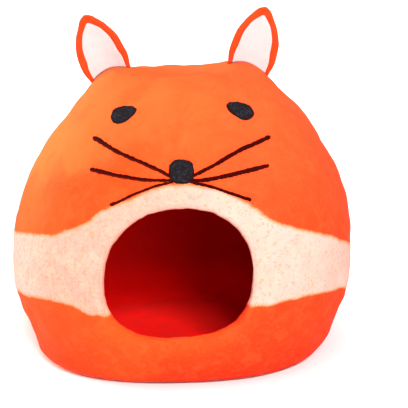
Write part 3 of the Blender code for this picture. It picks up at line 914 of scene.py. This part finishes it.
# ---------------- the face
def build_patch(patch, uneven, felt):
    """An eye or the nose: rings of an oval on the skin, domed by thickness * sqrt(1 - distance^2.4), with a
    ragged edge, and a flat back set just into the felt."""
    name, x, height, half_length, half_width, turn, drawn_in, square, thick = patch
    rings, columns = 26, 128
    edge, dome_adds = 0.12, 0.95  # shares of the thickness: at the edge, and what the dome adds in the middle
    turn = math.radians(turn)
    around = turns(columns)
    long_way = signed_power(np.cos(around), 2 / square)
    short_way = signed_power(np.sin(around), 2 / square) * (1 - drawn_in * (0.5 + 0.5 * long_way) ** 1.5)
    seed = 60 + len(name)
    ring_place = np.stack([np.cos(around), np.sin(around), 0 * around], axis=-1)
    ragged = 1 + 0.014 * swells(ring_place, 1.1, seed) + 0.009 * swells(ring_place, 0.35, seed + 1)
    out = np.linspace(1.0, 0.0, rings, endpoint=False)[:, None]
    grids = []
    for domed in (False, True):
        reach = out * ragged[None] * (1 if domed else BACK_SHARE)
        ahead, beside = half_length * reach * long_way, half_width * reach * short_way
        place_x = x + ahead * math.cos(turn) - beside * math.sin(turn)
        place_z = height + ahead * math.sin(turn) + beside * math.cos(turn)
        point, normal = on_front(place_x, place_z, uneven)
        if domed:
            rise = thick * (edge + dome_adds * np.sqrt(np.clip(1 - out**2.4, 0, 1)))
            rise = rise + 0.28 * swells(point, 5.0, seed + 2) + 0.14 * swells(point, 2.4, seed + 3)
        else:
            rise = np.full_like(place_x, -PATCH_SUNK)
        grids.append(point + normal * rise[..., None])
    back, front_side = grids
    rows = np.concatenate([back[::-1], front_side])
    middle, normal = on_front(np.array([x]), np.array([height]), uneven)
    poles = np.concatenate([middle - normal * PATCH_SUNK, middle + normal * thick * (edge + dome_adds)])
    points = np.concatenate([rows.reshape(-1, 3), poles])
    rim = np.concatenate([np.repeat(out[::-1], columns, axis=1), np.repeat(out, columns, axis=1)])
    rim = np.concatenate([rim.ravel(), [0, 0]])
    piece = new_piece("wool_" + name, points, closed_faces(len(rows), columns), felt, {"rim": rim})
    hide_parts(name)


def build_whisker(name, knots, uneven, felt):
    """A strand of wool that lies on the skin: an oval section carried along a smooth path, with lumps and
    blunt ends. Nearly half of it is sunk in the felt."""
    knots = np.array(knots)
    steps, sides = 150, 20
    lengths = np.concatenate([[0], np.cumsum(np.linalg.norm(np.diff(knots[:, :2], axis=0), axis=1))])
    at = np.linspace(0, lengths[-1], steps)
    x, height, width = (np.interp(at, lengths, column) for column in knots.T)
    point, normal = on_front(evened(x, 11), evened(height, 11), uneven)
    seed = 80 + sum(map(ord, name)) % 97
    width = width * (1 + 0.06 * swells(point, 9, seed) + 0.03 * swells(point, 3.5, seed + 1))
    from_end = np.minimum(at, lengths[-1] - at)
    blunt = np.sqrt(np.clip(1 - (1 - from_end / (STRAND_END * width)).clip(0) ** 2, 0.01, 1))
    ahead = unit(np.gradient(point, axis=0))
    beside = np.cross(normal, ahead)
    turn = turns(sides)[None, :, None]
    half = (width * blunt / 2)[:, None, None]
    tall = np.minimum(half * STRAND_HEIGHT, STRAND_TALLEST)
    lumps = 1 + 0.07 * swells(point[:, None] + beside[:, None] * np.cos(turn) * 3, 4, seed + 2)[..., None]
    rows = (
        point[:, None]
        + normal[:, None] * STRAND_LIFT
        + beside[:, None] * np.cos(turn) * half * lumps
        + normal[:, None] * np.sin(turn) * tall * lumps
    )
    # Each section's points run the other way round, so that the faces look outwards.
    rim = np.abs(np.cos(turn[..., 0])) * np.ones((steps, 1))
    piece = closed_leaf("wool_" + name, rows[:, ::-1], felt, "rim", rim)
    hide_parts(name)


# ---------------- stage
def camera_axes(elevation, roll):
    """Right, up and back directions of a camera that looks towards +Y, tipped down and rolled."""
    right = np.array([1.0, 0.0, 0.0])
    up = np.array([0.0, math.sin(elevation), math.cos(elevation)])
    back = np.array([0.0, -math.cos(elevation), math.sin(elevation)])
    return (
        right * math.cos(roll) - up * math.sin(roll),
        right * math.sin(roll) + up * math.cos(roll),
        back,
    )


CAMERA_TARGET = np.array([0.030, 0.0, 0.193])
SENSOR = 36.0  # millimetres


def aim(made, right, up, back, target, distance):
    """Puts a camera or a light at that distance from its target, looking at it."""
    place = Matrix(np.stack([right, up, back], axis=1).tolist()).to_4x4()
    place.translation = (target + back * distance).tolist()
    made.matrix_world = place


def add_camera(stage):
    lens = bpy.data.cameras.new("camera")
    lens.sensor_width = SENSOR
    lens.lens = SENSOR * stage.distance / stage.width_seen
    camera = add_object("camera", lens)
    aim(camera, *camera_axes(stage.elevation, stage.roll), CAMERA_TARGET, stage.distance)
    bpy.context.scene.camera = camera


def add_sun(name, azimuth, elevation, spread, radiance, colour=(1, 1, 1)):
    """A far soft light. Azimuth is 0 in front and +90 at the right, spread is its width as an angle, and
    radiance is how bright it makes white paper that faces it."""
    azimuth, elevation = math.radians(azimuth), math.radians(elevation)
    side = np.array([math.cos(azimuth), math.sin(azimuth), 0.0])
    level = np.array([math.sin(azimuth), -math.cos(azimuth), 0.0])
    away = level * math.cos(elevation) + np.array([0.0, 0.0, math.sin(elevation)])
    light = bpy.data.lights.new(name, "SUN")
    light.angle = math.radians(spread)
    light.energy = radiance * math.pi
    light.color = colour
    aim(add_object(name, light), side, np.cross(away, side), away, np.zeros(3), 3.0)


def build_floor():
    """A round floor, pale and matt, far wider than the picture and a hair under the base."""
    columns, radii, level = 96, np.array([600.0, 2000.0, 6000.0, 30000.0])[:, None], -0.05
    turn = turns(columns)
    rows = np.stack([radii * np.cos(turn), radii * np.sin(turn), np.full((4, columns), level)], axis=-1)
    points = np.concatenate([rows.reshape(-1, 3), [[0, 0, level]]])
    faces = [grid_faces(4, columns)[:, ::-1], fan_faces(0, columns, 4 * columns)]
    mesh = new_mesh("floor", points, faces)
    paint = bpy.data.materials.new("matt_white_floor")
    paint.use_nodes = True
    shader = paint.node_tree.nodes["Principled BSDF"]
    shader.inputs["Base Color"].default_value = (0.96, 0.96, 0.96, 1)
    shader.inputs["Roughness"].default_value = 1.0
    shader.inputs["Specular IOR Level"].default_value = 0.0
    mesh.materials.append(paint)
    add_object("floor", mesh)


class FELTCAVE_OT_shell(bpy.types.Operator):
    """Build the seamless felt shell with its cream band, red inside and way in"""

    bl_idname = "feltcave.shell"
    bl_label = "Felt shell"

    def execute(self, context):
        build_shell(context.scene.cave_shape, shell_felt(context.scene.cave_colours))
        return {"FINISHED"}


class FELTCAVE_OT_ears(bpy.types.Operator):
    """Build the two ears, each an orange leaf with a white one laid in it"""

    bl_idname = "feltcave.ears"
    bl_label = "Ears"

    def execute(self, context):
        orange, white = ear_felt(context.scene.cave_colours), white_felt(context.scene.cave_colours)
        for ear in EARS:
            build_ear(ear, context.scene.cave_shape, orange, white)
        return {"FINISHED"}


class FELTCAVE_OT_face(bpy.types.Operator):
    """Build the eyes, the nose and the whiskers of black wool"""

    bl_idname = "feltcave.face"
    bl_label = "Face"

    def execute(self, context):
        uneven, colours = context.scene.cave_shape.uneven / MM, context.scene.cave_colours
        patch_felt, strand_felt = black_felt(colours), whisker_felt(colours)
        for patch in PATCHES:
            build_patch(patch, uneven, patch_felt)
        for whisker in WHISKERS:
            build_whisker(*whisker, uneven, strand_felt)
        return {"FINISHED"}


class FELTCAVE_OT_declare(bpy.types.Operator):
    bl_idname = "feltcave.declare"
    bl_label = "Declare felt sheets"

    def execute(self, context):
        return {"FINISHED"}


class FELTCAVE_OT_stage(bpy.types.Operator):
    """Set up the pale floor, the soft lights and the camera"""

    bl_idname = "feltcave.stage"
    bl_label = "Stage"

    def execute(self, context):
        build_floor()
        add_sun("front_light", 7, 34.2, 9, 0.50)
        add_sun("front_light_right", 17, 35.3, 9, 0.70)
        add_sun("window_light", 20, 12, 24, 0.34)
        add_sun("left_light", -120, 16, 30, 1.50, (1.0, 0.94, 0.85))
        add_sun("top_light", -20, 75, 50, 0.40)
        scene = context.scene
        scene.world = bpy.data.worlds.new("pale_room")
        scene.world.use_nodes = True
        background = scene.world.node_tree.nodes["Background"]
        background.inputs["Color"].default_value = (1, 1, 1, 1)
        background.inputs["Strength"].default_value = 0.20
        scene.view_settings.view_transform = "Standard"
        scene.view_settings.look = "None"
        scene.view_settings.exposure = 0
        scene.view_settings.gamma = 1
        add_camera(scene.cave_stage)
        return {"FINISHED"}


class FELTCAVE_PT_panel(bpy.types.Panel):
    """Lists the cave's pieces and what can be varied"""

    bl_idname = "FELTCAVE_PT_panel"
    bl_label = "Felt cat cave"
    bl_space_type = "VIEW_3D"
    bl_region_type = "UI"
    bl_category = "Cat cave"

    def draw(self, context):
        for group in (context.scene.cave_shape, context.scene.cave_colours, context.scene.cave_stage):
            for key in group.bl_rna.properties.keys():
                if key not in ("rna_type", "name"):
                    self.layout.prop(group, key)
        for operator in OPERATORS:
            self.layout.operator(operator.bl_idname)


GROUPS = {"cave_shape": CaveShape, "cave_colours": CaveColours, "cave_stage": CaveStage}
OPERATORS = (FELTCAVE_OT_shell, FELTCAVE_OT_ears, FELTCAVE_OT_face, FELTCAVE_OT_declare, FELTCAVE_OT_stage)
CLASSES = (*GROUPS.values(), *OPERATORS, FELTCAVE_PT_panel)


def register():
    for each in CLASSES:
        bpy.utils.register_class(each)
    for name, group in GROUPS.items():
        setattr(bpy.types.Scene, name, bpy.props.PointerProperty(type=group))


def unregister():
    for name in GROUPS:
        delattr(bpy.types.Scene, name)
    for each in reversed(CLASSES):
        bpy.utils.unregister_class(each)


def main():
    register()
    for name in ("shell", "ears", "face", "declare", "stage"):
        getattr(bpy.ops.feltcave, name)()
    bpy.context.view_layer.update()


if __name__ == "__main__":
    main()
